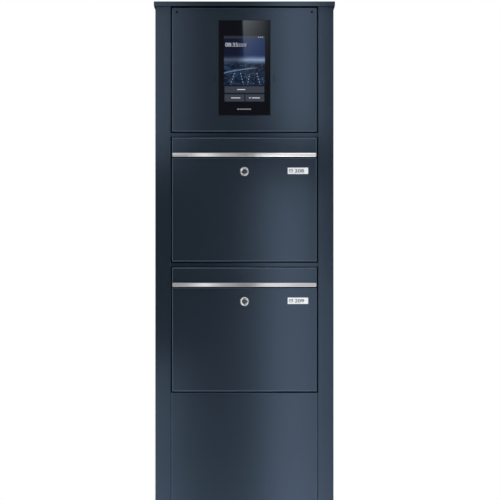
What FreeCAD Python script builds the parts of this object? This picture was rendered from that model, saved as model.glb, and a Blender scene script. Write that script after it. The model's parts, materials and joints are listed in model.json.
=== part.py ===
import FreeCAD, Part
import os
import re
import Sketcher

# Free-standing cluster mailbox column: two posts, a roof cap, a door station, two mailboxes
# and a blank lower panel.  Millimetres, +Z up, front towards -Y, origin on the ground under
# the centre of the column.  Station pieces are drawn downwards from the roof's top, mailbox
# pieces downwards from the top of their own module, and then placed at that height.

SIZES = {
    # column
    "total_height": 1600,
    "outer_half": 226.5,
    "jamb_half": 186.5,
    "post_gauge": 2,
    "post_front": -96,
    "post_back": 104,
    "jamb_depth": 30,
    "rear_flange": 30,
    "bend_radius": 1.8,
    # roof cap
    "roof_half": 230,
    "roof_reach": 108,
    "roof_gauge": 2,
    "roof_lip": 12,
    "roof_skirt": 17.6,
    "roof_stud_x": 206.5,
    "roof_stud_radius": 2.4,
    "roof_stud_length": 13,
    # base
    "base_gauge": 6,
    "shoe_height": 84,
    "anchor_x": 180,
    "anchor_y": 60,
    "anchor_radius": 6,
    "bolt_height": 50,
    "bolt_hole_radius": 3.2,
    "grommet_bore": 10,
    "grommet_seat": 15,
    # fronts, all hung or fixed between the posts
    "front_half": 183.5,
    "front_face": -102,
    "front_gauge": 1.5,
    "return_end": -86,
    "edge_radius": 1.3,
    "plate_front": -84,
    "plate_back": -82.5,
    "flange_inside": 185,
    "flange_front": -95,
    "ear_front": -100,
    "ear_half": 4,
    # hinges
    "door_axis_y": -96.5,
    "door_axis_rise": 5,
    "door_pin_radius": 2,
    "flap_axis_y": -97.5,
    "flap_axis_drop": 4,
    "flap_rod_radius": 1.5,
    "running_gap": 0.06,
    # door station, depths below the roof's top
    "station_top": 16,
    "station_height": 314,
    "glass_centre": 168.3,
    "glass_half_width": 65.5,
    "glass_half_height": 121,
    "glass_front": -101.6,
    "glass_gauge": 3,
    "frame_lap": 5.5,
    "bezel_front": -99.5,
    "screen_front": -98.5,
    "screen_back": -94.5,
    "screen_half_width": 56,
    "screen_half_height": 88,
    "screen_centre": 171,
    "housing_front": -96.5,
    "housing_back": -70,
    "housing_gauge": 2,
    "housing_half_width": 70.5,
    "housing_half_height": 126,
    "cover_back": -68,
    "board_front": -86,
    "board_gauge": 1.6,
    "speaker_front": -100.5,
    "sound_centre": 195.5,
    "sound_pitch": 5.4,
    "captive_x": 171.5,
    "captive_drop": 26.8,
    # mailbox modules, depths below the module's top
    "first_module_drop": 343.5,
    "module_pitch": 330,
    "module_height": 320,
    "rail_height": 10,
    "flap_drop": 2.5,
    "flap_height": 48.5,
    "flap_return": -94,
    "flap_gap": 3,
    "door_height": 262.5,
    "slot_half": 165,
    "slot_top": 9,
    "slot_bottom": 43,
    "opening_half": 171.5,
    "opening_top": 66,
    "opening_bottom": 304.5,
    "shell_back": 64,
    "shell_gauge": 1.5,
    "bar_height": 9.7,
    "bar_front": -108,
    "bar_half": 183,
    # cam lock
    "lock_drop": 88.3,
    "lock_head_radius": 11,
    "lock_head_front": -105,
    "lock_body_radius": 9.25,
    "lock_nut_reach": 13.5,
    "lock_nut_depth": 5,
    "plug_radius": 7,
    "key_slot_half": 4.2,
    "key_slot_rise": 1.1,
    "cam_square": 2.9,
    "cam_length": 30,
    "cam_front": -81.8,
    "cam_gauge": 2,
    # nameplate
    "card_x": 136,
    "card_drop": 86.5,
    "card_half_width": 26,
    "card_half_height": 8,
    # lower front panel
    "lower_top": 994,
    "lower_half": 185.5,
    "lower_return": -76,
    # fixings
    "rivet_y": -75,
    "rivet_radius": 2,
    "cover_screw_radius": 2,
    "cover_screw_x": 211.5,
}

BACK_SCREW_HEIGHTS = (60, 425, 790, 1160, 1530)
LOWER_SCREW_HEIGHTS = (90, 540)
STATION_RIVET_DROPS = (60, 290)
MODULE_RIVET_DROPS = (40, 290)
BASE_BOLT_DEPTHS = (-35, 45)
ROOF_STUD_DEPTHS = (-60, 70)
SOUND_COLUMNS = ((74.5, 4, 1.3), (79.5, 5, 0.8), (84.5, 6, 0.55))
BAR_SCREW_X = (-150, 0, 150)
STATION_STUDS = ((-50, 36.5), (50, 36.5), (-50, 300.1), (50, 300.1))
SIDES = ("-1", "1")

doc = FreeCAD.newDocument("MailboxColumn")
sheet = doc.addObject("Spreadsheet::Sheet", "Sizes")
for row, (alias, value) in enumerate(SIZES.items(), start=1):
    sheet.set(f"A{row}", alias)
    sheet.set(f"B{row}", str(value))
    sheet.setAlias(f"B{row}", alias)
doc.recompute()


# ---------------------------------------------------------------- drawing helpers

def formula(text):
    """The expression text with every size name pointed at the spreadsheet."""
    return re.sub(r"[a-z][a-z_]+", lambda word: f"Sizes.{word.group()}", str(text))


def number(text):
    """What an expression is worth now."""
    return float(sheet.evalExpression(formula(text)))


def hold_point(sketch, geometry, point, across, up):
    """Ties one point of a sketch to the origin by two bound distances."""
    for kind, text in (("DistanceX", across), ("DistanceY", up)):
        row = sketch.addConstraint(Sketcher.Constraint(kind, -1, 1, geometry, point, number(text)))
        sketch.setExpression(f"Constraints[{row}]", formula(text))


def outline(*corners):
    """A closed loop of straight lines through corners given as pairs of expressions."""
    def draw(sketch):
        points = [FreeCAD.Vector(number(across), number(up), 0) for across, up in corners]
        first = sketch.GeometryCount
        for start, end in zip(points, points[1:] + points[:1]):
            sketch.addGeometry(Part.LineSegment(start, end))
        for index, (across, up) in enumerate(corners):
            before = first + (index - 1) % len(corners)
            sketch.addConstraint(Sketcher.Constraint("Coincident", before, 2, first + index, 1))
            hold_point(sketch, first + index, 1, across, up)
    return draw


def rectangle(left, bottom, right, top):
    """A rectangle between two corners."""
    return outline((left, bottom), (right, bottom), (right, top), (left, top))


def wide(half, bottom, top):
    """A rectangle centred left to right."""
    return rectangle(f"-({half})", bottom, half, top)


def circle(across, up, radius):
    """A circle about a bound centre."""
    def draw(sketch):
        centre = FreeCAD.Vector(number(across), number(up), 0)
        index = sketch.addGeometry(Part.Circle(centre, FreeCAD.Vector(0, 0, 1), number(radius)))
        hold_point(sketch, index, 3, across, up)
        row = sketch.addConstraint(Sketcher.Constraint("Radius", index, number(radius)))
        sketch.setExpression(f"Constraints[{row}]", formula(radius))
    return draw


# The plane a sketch lies in, by the axis it is extruded along.
PLANES = {"X": "YZ_Plane", "Y": "XZ_Plane", "Z": "XY_Plane"}


def sketch_on(piece, axis, start, shapes):
    """A sketch square to one axis, at the place that start gives along it."""
    sketch = piece.newObject("Sketcher::SketchObject", f"{piece.Name}_outline")
    role = PLANES[axis]
    plane = next(item for item in piece.Origin.OriginFeatures if item.Role == role)
    sketch.AttachmentSupport = [(plane, "")]
    sketch.MapMode = "FlatFace"
    sign = "-" if axis == "Y" else ""
    sketch.setExpression("AttachmentOffset.Base.z", formula(f"{sign}({start})"))
    for draw in shapes:
        draw(sketch)
    return sketch


def extrude(piece, kind, axis, start, end, shapes):
    """Pads or pockets the shapes from start to end along the axis."""
    sketch = sketch_on(piece, axis, start, shapes)
    feature = piece.newObject(f"PartDesign::{kind}", f"{piece.Name}_{kind.lower()}")
    feature.Profile = sketch
    feature.Type = "Length"
    feature.setExpression("Length", formula(f"({end}) - ({start})"))
    # An XZ sketch faces -Y, and a pocket runs against its sketch's normal.
    feature.Reversed = (axis == "Y") != (kind == "Pocket")
    sketch.Visibility = False
    return feature


def add(piece, axis, start, end, *shapes):
    """Adds material between two planes."""
    feature = extrude(piece, "Pad", axis, start, end, shapes)
    doc.recompute()
    return feature


def cut(piece, axis, start, end, *shapes):
    """Takes material away between two planes, and makes sure that it did."""
    doc.recompute()
    before = piece.Shape.Volume
    feature = extrude(piece, "Pocket", axis, start, end, shapes)
    doc.recompute()
    if not piece.Shape.Volume < before - 1e-3:
        raise ValueError(f"{piece.Label}: a pocket cut nothing")
    return feature


def round_edges(piece, radius, wanted):
    """Fillets every edge of the tip that the test accepts."""
    doc.recompute()
    tip = piece.Tip
    names = [f"Edge{n}" for n, edge in enumerate(tip.Shape.Edges, start=1) if wanted(edge)]
    fillet = piece.newObject("PartDesign::Fillet", f"{piece.Name}_bend")
    fillet.Base = (tip, names)
    fillet.Radius = number(radius)
    fillet.setExpression("Radius", formula(radius))
    doc.recompute()
    return fillet


def lies_at(axis, text):
    """Edge test: the whole edge lies in the plane at this place along the axis."""
    place = number(text)
    return lambda edge: all(abs(getattr(v.Point, axis) - place) < 1e-4 for v in edge.Vertexes)


def runs_along(axis):
    """Edge test: the edge is a straight line along the axis."""
    def test(edge):
        if len(edge.Vertexes) != 2:
            return False
        across = [name for name in ("x", "y", "z") if name != axis]
        a, b = (v.Point for v in edge.Vertexes)
        return all(abs(getattr(a, name) - getattr(b, name)) < 1e-6 for name in across)
    return test


def either(*tests):
    """Edge test: any of the tests accepts."""
    return lambda edge: any(test(edge) for test in tests)


def both(*tests):
    """Edge test: all of the tests accept."""
    return lambda edge: all(test(edge) for test in tests)


PIECES = []


def new_piece(label, height="0"):
    """A body that becomes one node, set at a bound height."""
    piece = doc.addObject("PartDesign::Body", label)
    piece.Label = label
    piece.setExpression("Placement.Base.z", formula(height))
    PIECES.append(piece)
    return piece


def primitive(kind, name, **values):
    """A Part primitive whose properties are bound to expressions."""
    item = doc.addObject(f"Part::{kind}", name)
    for prop, text in values.items():
        item.setExpression(prop, formula(text))
    return item


def put(item, place, along=(0, 0, 1)):
    """Turns an item's +Z to a direction and binds where its origin goes."""
    turn = FreeCAD.Rotation(FreeCAD.Vector(0, 0, 1), FreeCAD.Vector(*along))
    item.Placement = FreeCAD.Placement(FreeCAD.Vector(), turn)
    for name, text in zip("xyz", place):
        item.setExpression(f"Placement.Base.{name}", formula(text))
    return item


def screw(name, place, along, shank, length, head, head_depth, key=0):
    """A screw whose head rests on the place and whose shank runs along the direction."""
    top = primitive("Cylinder", f"{name}_head", Radius=head, Height=head_depth)
    top.setExpression("Placement.Base.z", formula(f"-({head_depth})"))
    stem = primitive("Cylinder", f"{name}_shank", Radius=shank, Height=length)
    whole = doc.addObject("Part::MultiFuse", f"{name}_blank")
    whole.Shapes = [top, stem]
    if key:
        socket = primitive("Prism", f"{name}_socket", Circumradius=key, Height=head_depth)
        socket.Polygon = 6
        socket.setExpression("Placement.Base.z", formula(f"-({head_depth}) * 1.35"))
        keyed = doc.addObject("Part::Cut", name)
        keyed.Base = whole
        keyed.Tool = socket
        whole = keyed
    return put(whole, place, along)


def nut(name, place, along, across, bore, depth):
    """A hexagon nut that starts at the place and runs along the direction."""
    block = primitive("Prism", f"{name}_block", Circumradius=across, Height=depth)
    block.Polygon = 6
    hole = primitive("Cylinder", f"{name}_hole", Radius=bore, Height=depth)
    whole = doc.addObject("Part::Cut", name)
    whole.Base = block
    whole.Tool = hole
    return put(whole, place, along)


def rod(name, place, along, radius, length):
    """A plain round bar from the place along the direction."""
    return put(primitive("Cylinder", name, Radius=radius, Height=length), place, along)


def group(label, items, height="0"):
    """Separate solids that share one node."""
    whole = doc.addObject("Part::Compound", label)
    whole.Label = label
    whole.Links = items
    whole.setExpression("Placement.Base.z", formula(height))
    PIECES.append(whole)
    return whole


def hollow_front(label, height, half, bottom, top, front, back, gauge):
    """A bent sheet pan: flat face with rounded edges, and returns that run back."""
    pan = new_piece(label, height)
    add(pan, "Y", front, back, wide(half, bottom, top))
    round_edges(pan, "edge_radius", either(lies_at("y", front), runs_along("y")))
    inside = rectangle(f"-({half}) + {gauge}", f"{bottom} + {gauge}",
                       f"{half} - {gauge}", f"{top} - {gauge}")
    cut(pan, "Y", f"{front} + {gauge}", back, inside)
    return pan


# ---------------------------------------------------------------- column

MODULE_TOPS = [f"total_height - first_module_drop - {step} * module_pitch" for step in (0, 1)]


def rivet_heights():
    """World heights of every rivet through the jambs."""
    heights = [f"total_height - {drop}" for drop in STATION_RIVET_DROPS]
    for top in MODULE_TOPS:
        heights += [f"{top} - {drop}" for drop in MODULE_RIVET_DROPS]
    return heights


def make_post(label, side):
    """A C-section post: jamb return, front face, web and rear flange, with a top plate."""
    post = new_piece(label)
    skin = "post_gauge"
    plan = outline(
        (f"{side} * jamb_half", "post_front"),
        (f"{side} * outer_half", "post_front"),
        (f"{side} * outer_half", "post_back"),
        (f"{side} * (outer_half - rear_flange)", "post_back"),
        (f"{side} * (outer_half - rear_flange)", f"post_back - {skin}"),
        (f"{side} * (outer_half - {skin})", f"post_back - {skin}"),
        (f"{side} * (outer_half - {skin})", f"post_front + {skin}"),
        (f"{side} * (jamb_half + {skin})", f"post_front + {skin}"),
        (f"{side} * (jamb_half + {skin})", "post_front + jamb_depth"),
        (f"{side} * jamb_half", "post_front + jamb_depth"),
    )
    add(post, "Z", "base_gauge", "total_height - roof_gauge", plan)
    outer_bends = both(runs_along("z"), either(
        both(lies_at("y", "post_front"), lies_at("x", f"{side} * jamb_half")),
        both(lies_at("y", "post_front"), lies_at("x", f"{side} * outer_half")),
        both(lies_at("y", "post_back"), lies_at("x", f"{side} * outer_half")),
    ))
    round_edges(post, "bend_radius", outer_bends)
    top_plate = rectangle(f"{side} * (jamb_half + {skin})", f"post_front + {skin}",
                          f"{side} * (outer_half - {skin})", f"post_back - {skin}")
    add(post, "Z", f"total_height - roof_gauge - {skin}", "total_height - roof_gauge", top_plate)
    studs = [circle(f"{side} * roof_stud_x", depth, "roof_stud_radius + 0.2")
             for depth in ROOF_STUD_DEPTHS]
    cut(post, "Z", f"total_height - roof_gauge - {skin}", "total_height - roof_gauge", *studs)
    rear_holes = [circle(f"{side} * cover_screw_x", height, "cover_screw_radius + 0.2")
                  for height in BACK_SCREW_HEIGHTS]
    cut(post, "Y", f"post_back - {skin}", "post_back", *rear_holes)
    low, high = sorted((f"{side} * jamb_half", f"{side} * (jamb_half + {skin})"), key=number)
    jamb_holes = [circle("rivet_y", height, "rivet_radius + 0.1") for height in rivet_heights()]
    jamb_holes += [circle("plate_front", height, "cover_screw_radius + 0.1")
                   for height in LOWER_SCREW_HEIGHTS]
    cut(post, "X", low, high, *jamb_holes)
    low, high = sorted((f"{side} * (outer_half - {skin})", f"{side} * outer_half"), key=number)
    bolts = [circle(depth, "bolt_height", "bolt_hole_radius") for depth in BASE_BOLT_DEPTHS]
    cut(post, "X", low, high, *bolts)


def make_roof():
    """A folded cap: flat top, short front lip, side skirts that draw in to the posts."""
    roof = new_piece("roof_cap", "total_height")
    draw_in = "roof_half - 1.8"
    add(roof, "Y", "-roof_reach", "roof_reach", outline(
        ("-roof_half", "0"), ("-roof_half", "-10"), (f"-({draw_in})", "-roof_skirt"),
        (draw_in, "-roof_skirt"), ("roof_half", "-10"), ("roof_half", "0")))
    round_edges(roof, "1.5", either(
        lies_at("z", "0"),
        both(lies_at("y", "-roof_reach"), lies_at("x", "roof_half")),
        both(lies_at("y", "-roof_reach"), lies_at("x", "-roof_half"))))
    cut(roof, "Y", "-roof_reach + roof_gauge", "roof_reach - roof_gauge", outline(
        ("-(outer_half + 0.3)", "-roof_skirt"), ("-(outer_half + 0.3)", "-15.5"),
        ("-(roof_half - roof_gauge)", "-10"), ("-(roof_half - roof_gauge)", "-roof_gauge"),
        ("roof_half - roof_gauge", "-roof_gauge"), ("roof_half - roof_gauge", "-10"),
        ("outer_half + 0.3", "-15.5"), ("outer_half + 0.3", "-roof_skirt")))
    cut(roof, "Y", "-roof_reach", "-roof_reach + roof_gauge",
        wide("outer_half + 0.3", "-roof_skirt", "-roof_lip"))
    studs = [circle(f"{side} * roof_stud_x", depth, "roof_stud_radius")
             for side in SIDES for depth in ROOF_STUD_DEPTHS]
    add(roof, "Z", "-roof_gauge - roof_stud_length", "-roof_gauge", *studs)


def make_rail(label, top):
    """A cross rail: a channel that is open to the back, welded between the jambs."""
    rail = new_piece(label, top)
    skin = "front_gauge"
    add(rail, "X", "-jamb_half", "jamb_half", outline(
        ("post_front", "0"), ("post_front + jamb_depth", "0"),
        ("post_front + jamb_depth", f"-{skin}"), (f"post_front + {skin}", f"-{skin}"),
        (f"post_front + {skin}", f"{skin} - rail_height"),
        ("post_front + jamb_depth", f"{skin} - rail_height"),
        ("post_front + jamb_depth", "-rail_height"), ("post_front", "-rail_height")))


def make_base():
    """The foot: a thick plate with anchor holes, and a shoe plate up inside each post."""
    base = new_piece("base_plate")
    add(base, "Z", "0", "base_gauge",
        wide("outer_half - 0.5", "post_front + 0.5", "post_back - 0.5"))
    for side in SIDES:
        shoe = rectangle(f"{side} * (outer_half - post_gauge)", "-60",
                         f"{side} * (outer_half - post_gauge - base_gauge)", "70")
        add(base, "Z", "base_gauge", "base_gauge + shoe_height", shoe)
    holes = [circle(f"{x} * anchor_x", f"{y} * anchor_y", "anchor_radius")
             for x in SIDES for y in SIDES]
    cut(base, "Z", "0", "base_gauge", circle("0", "0", "grommet_seat"), *holes)
    bolts = [circle(depth, "bolt_height", "bolt_hole_radius") for depth in BASE_BOLT_DEPTHS]
    cut(base, "X", "-outer_half", "outer_half", *bolts)


def make_grommet():
    """A rubber ring that lines the cable hole and laps over its upper edge."""
    ring = new_piece("cable_grommet")
    add(ring, "Z", "0", "base_gauge", circle("0", "0", "grommet_seat - 0.05"))
    add(ring, "Z", "base_gauge", "base_gauge + 2.5", circle("0", "0", "grommet_seat + 4"))
    cut(ring, "Z", "0", "base_gauge + 2.5", circle("0", "0", "grommet_bore"))


def make_back_panel():
    """The rear sheet, behind the posts' rear flanges, with ventilation slots."""
    panel = new_piece("back_panel")
    add(panel, "Y", "post_back - post_gauge - front_gauge", "post_back - post_gauge",
        wide("outer_half - 4.5", "base_gauge + 2", "total_height - 7"))
    holes = [circle(f"{side} * cover_screw_x", height, "cover_screw_radius + 0.1")
             for side in SIDES for height in BACK_SCREW_HEIGHTS]
    slots = [wide("35", f"total_height - 90 - {12 * step}", f"total_height - 86 - {12 * step}")
             for step in range(6)]
    cut(panel, "Y", "post_back - post_gauge - front_gauge", "post_back - post_gauge",
        *holes, *slots)


def make_lower_panel():
    """The blank panel from the lower mailbox down to the foot, flush with the posts."""
    panel = hollow_front("lower_front_panel", "0", "lower_half", "base_gauge + 2",
                         "total_height - lower_top", "post_front", "lower_return", "front_gauge")
    holes = [circle("plate_front", height, "cover_screw_radius + 0.2")
             for height in LOWER_SCREW_HEIGHTS]
    cut(panel, "X", "-lower_half", "lower_half", *holes)


def make_column_fixings():
    """Screws, nuts, bolts and rivets of the column."""
    covers = []
    for side in SIDES:
        for height in BACK_SCREW_HEIGHTS:
            place = (f"{side} * cover_screw_x", "post_back", height)
            covers.append(screw(f"rear_screw_{len(covers)}", place, (0, -1, 0),
                                "cover_screw_radius", "9", "3.8", "2.4", "1.5"))
        for height in LOWER_SCREW_HEIGHTS:
            place = (f"{side} * (lower_half - front_gauge)", "plate_front", height)
            covers.append(screw(f"lower_screw_{len(covers)}", place, (int(side), 0, 0),
                                "cover_screw_radius", "6", "3.5", "2.2", "1.5"))
    group("cover_screws", covers)

    bolts = []
    nuts = []
    for side in SIDES:
        for depth in BASE_BOLT_DEPTHS:
            outside = (f"{side} * outer_half", depth, "bolt_height")
            bolts.append(screw(f"base_bolt_{len(bolts)}", outside, (-int(side), 0, 0),
                               "3", "15", "5.2", "3.3", "2.2"))
            inside = (f"{side} * (outer_half - post_gauge - base_gauge)", depth, "bolt_height")
            nuts.append(nut(f"base_nut_{len(nuts)}", inside, (-int(side), 0, 0),
                            "5.7", "3.05", "5"))
        for depth in ROOF_STUD_DEPTHS:
            under = (f"{side} * roof_stud_x", depth, "total_height - roof_gauge - post_gauge")
            nuts.append(nut(f"roof_nut_{len(nuts)}", under, (0, 0, -1),
                            "4.6", "roof_stud_radius + 0.05", "4"))
    group("base_bolts", bolts)
    group("frame_nuts", nuts)

    rivets = []
    for side in SIDES:
        for height in rivet_heights():
            place = (f"{side} * flange_inside", "rivet_y", height)
            head = screw(f"rivet_{len(rivets)}", place, (int(side), 0, 0),
                         "rivet_radius", "5", "3.6", "1.1")
            rivets.append(head)
    group("module_rivets", rivets)


def make_hinge_pins():
    """Short pins that the service panel and the doors turn on, and the flaps' long rods."""
    pins = []
    axis_heights = ["total_height - station_top - station_height + door_axis_rise"]
    for top in MODULE_TOPS:
        axis_heights.append(f"{top} - flap_drop - flap_height - flap_gap - door_height"
                            " + door_axis_rise")
    for height in axis_heights:
        for side in SIDES:
            start = (f"{side} * (front_half - 3)", "door_axis_y", height)
            pins.append(rod(f"pin_{len(pins)}", start, (int(side), 0, 0),
                            "door_pin_radius", "jamb_half - front_half + 3"))
    group("hinge_pins", pins)
    rods = []
    for top in MODULE_TOPS:
        start = ("-(jamb_half - 0.1)", "flap_axis_y", f"{top} - flap_drop - flap_axis_drop")
        rods.append(rod(f"flap_rod_{len(rods)}", start, (1, 0, 0),
                        "flap_rod_radius", "2 * jamb_half - 0.2"))
    group("flap_rods", rods)


def make_bumpers():
    """Rubber buffers that the service panel, the doors and the flaps close against."""
    buffers = []

    def buffer(across, height, reach):
        start = (across, "plate_front", height)
        length = f"plate_front - ({reach}) - 0.3"
        buffers.append(rod(f"buffer_{len(buffers)}", start, (0, -1, 0), "3", length))

    for side in SIDES:
        buffer(f"{side} * 120", "total_height - station_top - 3", "return_end")
        for top in MODULE_TOPS:
            door_edge = f"{top} - flap_drop - flap_height - flap_gap"
            buffer(f"{side} * 120", f"{door_edge} - 3", "return_end")
            buffer(f"{side} * 140", f"{door_edge} + flap_gap + 1", "flap_return")
    group("rubber_bumpers", buffers)


# ---------------------------------------------------------------- door station

STATION_BOTTOM = "-station_top - station_height"


def hinge_plate(label, height, bottom, top, openings, ears, back_reach):
    """A steel plate behind the fronts, with side flanges whose ears carry the pins. Each ear
    gives its pin's height, its pin's depth and the pin's radius."""
    plate = new_piece(label, height)
    add(plate, "Y", "plate_front", "plate_back", wide("jamb_half", bottom, top))
    cut(plate, "Y", "plate_front", "plate_back", *openings)
    for side in SIDES:
        low, high = sorted((f"{side} * flange_inside", f"{side} * jamb_half"), key=number)
        add(plate, "Y", "flange_front", "plate_front", rectangle(low, bottom, high, top))
        if back_reach:
            add(plate, "Y", "plate_back", back_reach, rectangle(low, bottom, high, top))
        for place, _, _ in ears:
            add(plate, "Y", "ear_front", "flange_front",
                rectangle(low, f"{place} - ear_half", high, f"{place} + ear_half"))
    for place, across, radius in ears:
        cut(plate, "X", "-jamb_half", "jamb_half",
            circle(across, place, f"{radius} + running_gap"))
    return plate


def make_station_frame():
    """The plate that the service panel hangs on and closes against."""
    axis = f"{STATION_BOTTOM} + door_axis_rise"
    frame = hinge_plate(
        "station_frame", "total_height", f"{STATION_BOTTOM} - 3", "-roof_lip + 2",
        [wide("150", f"{STATION_BOTTOM} + 22", "-station_top - 16")],
        [(axis, "door_axis_y", "door_pin_radius")], "post_front + 28")
    holes = [circle(f"{side} * captive_x", "-captive_drop", "2.3") for side in SIDES]
    cut(frame, "Y", "plate_front", "plate_back", *holes)
    rivets = [circle("rivet_y", f"-{drop}", "rivet_radius + 0.1") for drop in STATION_RIVET_DROPS]
    cut(frame, "X", "-jamb_half", "jamb_half", *rivets)


def make_station_panel():
    """The service panel: a pan with the display window, sound holes and screw holes."""
    panel = hollow_front("station_panel", "total_height", "front_half", STATION_BOTTOM,
                         "-station_top", "front_face", "return_end", "front_gauge")
    cuts = [rectangle("-(glass_half_width + 0.5)", "-glass_centre - glass_half_height - 0.5",
                      "glass_half_width + 0.5", "-glass_centre + glass_half_height + 0.5")]
    for side in SIDES:
        cuts.append(circle(f"{side} * captive_x", "-captive_drop", "3.1"))
        for across, count, radius in SOUND_COLUMNS:
            for step in range(count):
                place = f"-sound_centre + {step - (count - 1) / 2} * sound_pitch"
                cuts.append(circle(f"{side} * {across}", place, str(radius)))
    cut(panel, "Y", "front_face", "front_face + front_gauge", *cuts)
    studs = [circle(across, f"-{drop}", "1.5") for across, drop in STATION_STUDS]
    add(panel, "Y", "front_face + front_gauge", "front_face + front_gauge + 9", *studs)
    cut(panel, "X", "-front_half", "front_half",
        circle("door_axis_y", f"{STATION_BOTTOM} + door_axis_rise",
               "door_pin_radius + running_gap"))


def glass_outline(lap):
    """A rectangle that stands out past the glass by a lap on every side."""
    return wide(f"glass_half_width + {lap}", f"-glass_centre - (glass_half_height + {lap})",
                f"-glass_centre + (glass_half_height + {lap})")


def framed_plate(label, gap, start, end):
    """A flat ring about the glass, such as a gasket."""
    ring = new_piece(label, "total_height")
    add(ring, "Y", start, end, glass_outline("frame_lap"))
    round_edges(ring, "3", runs_along("y"))
    cut(ring, "Y", start, end, glass_outline(gap))


def housing_outline(inset):
    """The housing's rectangle, drawn in by an inset on every side."""
    return wide(f"housing_half_width - {inset}",
                f"-glass_centre - (housing_half_height - {inset})",
                f"-glass_centre + (housing_half_height - {inset})")


def make_station_unit():
    """The display unit behind the window: glass, screen, electronics and their box."""
    glass = new_piece("station_glass", "total_height")
    add(glass, "Y", "glass_front", "glass_front + glass_gauge", glass_outline("0"))
    round_edges(glass, "1.5", runs_along("y"))
    round_edges(glass, "0.4", lies_at("y", "glass_front"))

    framed_plate("station_gasket", "0.8", "front_face + front_gauge", "bezel_front")
    framed_plate("station_bezel", "0.3", "bezel_front", "housing_front")

    screen = new_piece("display_module", "total_height")
    add(screen, "Y", "screen_front", "screen_back",
        wide("screen_half_width", "-screen_centre - screen_half_height",
             "-screen_centre + screen_half_height"))

    housing = new_piece("station_housing", "total_height")
    add(housing, "Y", "housing_front", "housing_back", housing_outline("0"))
    round_edges(housing, "3", runs_along("y"))
    cut(housing, "Y", "housing_front", "housing_back", housing_outline("housing_gauge"))
    tab_back = "housing_front + housing_gauge"
    for across, drop in STATION_STUDS:
        outwards = 1 if number("glass_centre") > drop else -1
        wall = f"-glass_centre + {outwards} * (housing_half_height - 1)"
        low, high = sorted((wall, f"-{drop} - {6 * -outwards}"), key=number)
        add(housing, "Y", "housing_front", tab_back,
            rectangle(f"{across} - 8", low, f"{across} + 8", high))
    cut(housing, "Y", "housing_front", tab_back,
        *[circle(across, f"-{drop}", "1.7") for across, drop in STATION_STUDS])

    cover = new_piece("rear_cover", "total_height")
    add(cover, "Y", "housing_back", "cover_back", housing_outline("0"))
    round_edges(cover, "3", runs_along("y"))
    cut(cover, "Y", "housing_back", "cover_back",
        wide("22", "-glass_centre - 112", "-glass_centre - 104"))

    board = new_piece("circuit_board", "total_height")
    add(board, "Y", "board_front", "board_front + board_gauge",
        wide("60", "-glass_centre - 105", "-glass_centre + 105"))

    camera = new_piece("camera_module", "total_height")
    add(camera, "Y", "-92", "board_front - 0.2", wide("12", "-78", "-54"))
    add(camera, "Y", "screen_front + 0.1", "-92", circle("0", "-66", "7"))
    cut(camera, "Y", "screen_front + 0.1", "-97", circle("0", "-66", "4"))

    speaker = new_piece("loudspeaker", "total_height")
    add(speaker, "Y", "speaker_front", "-95",
        rectangle("71.5", "-sound_centre - 24", "97.5", "-sound_centre + 24"))
    add(speaker, "Y", "-95", "-88", circle("84.5", "-sound_centre", "10"))

    microphone = new_piece("microphone", "total_height")
    add(microphone, "Y", "speaker_front", "-96",
        rectangle("-90", "-sound_centre - 22", "-71.5", "-sound_centre + 22"))
    add(microphone, "Y", "-96", "-92", circle("-80", "-sound_centre", "5"))

    terminals = new_piece("terminal_block", "total_height")
    add(terminals, "Y", "cover_back", "cover_back + 10",
        wide("30", "-glass_centre - 102", "-glass_centre - 90"))
    cut(terminals, "Z", "-glass_centre - 102", "-glass_centre - 97",
        *[circle(str(-25 + 10 * step), "cover_back + 6", "1.8") for step in range(6)])


def make_station_fixings():
    """Nuts on the panel's studs and the two captive security screws."""
    nuts = [nut(f"station_nut_{step}", (across, "screen_back", f"-{drop}"), (0, 1, 0),
                "3.4", "1.55", "2.4")
            for step, (across, drop) in enumerate(STATION_STUDS)]
    group("station_nuts", nuts, "total_height")
    captive = [screw(f"captive_{side}", (f"{side} * captive_x", "front_face + 2.4",
                                         "-captive_drop"),
                     (0, 1, 0), "2", "18", "2.9", "2.2", "1.4") for side in SIDES]
    group("panel_screws", captive, "total_height")


# ---------------------------------------------------------------- mailboxes

DOOR_TOP = "-flap_drop - flap_height - flap_gap"
DOOR_BOTTOM = f"{DOOR_TOP} - door_height"
FLAP_AXIS = "-flap_drop - flap_axis_drop"
DOOR_AXIS = f"{DOOR_BOTTOM} + door_axis_rise"


def make_module_frame(box, top):
    """The hinge plate with the letter slot and the door opening, and the steel shell."""
    hinge_plate(
        f"{box}_front_frame", top, "-module_height + 0.5", "-0.5",
        [wide("slot_half", "-slot_bottom", "-slot_top"),
         wide("opening_half", "-opening_bottom", "-opening_top")],
        [(FLAP_AXIS, "flap_axis_y", "flap_rod_radius"),
         (DOOR_AXIS, "door_axis_y", "door_pin_radius")], None)

    shell = new_piece(f"{box}_shell", top)
    add(shell, "Y", "plate_back", "shell_back", wide("jamb_half", "1 - module_height", "-1"))
    cut(shell, "Y", "plate_back", "shell_back - shell_gauge",
        wide("jamb_half - shell_gauge", "1 - module_height + shell_gauge", "-1 - shell_gauge"))
    rivets = [circle("rivet_y", f"-{drop}", "rivet_radius + 0.1") for drop in MODULE_RIVET_DROPS]
    cut(shell, "X", "-jamb_half", "jamb_half", *rivets)

    chute = new_piece(f"{box}_mail_chute", top)
    add(chute, "X", "-slot_half", "slot_half", outline(
        ("plate_back", "-slot_bottom"), ("plate_back + 6", "-slot_bottom"),
        ("plate_back + 38", "-slot_bottom - 32"), ("plate_back + 38", "-slot_bottom - 34"),
        ("plate_back + 5.5", "-slot_bottom - 1.5"), ("plate_back", "-slot_bottom - 1.5")))


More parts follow.
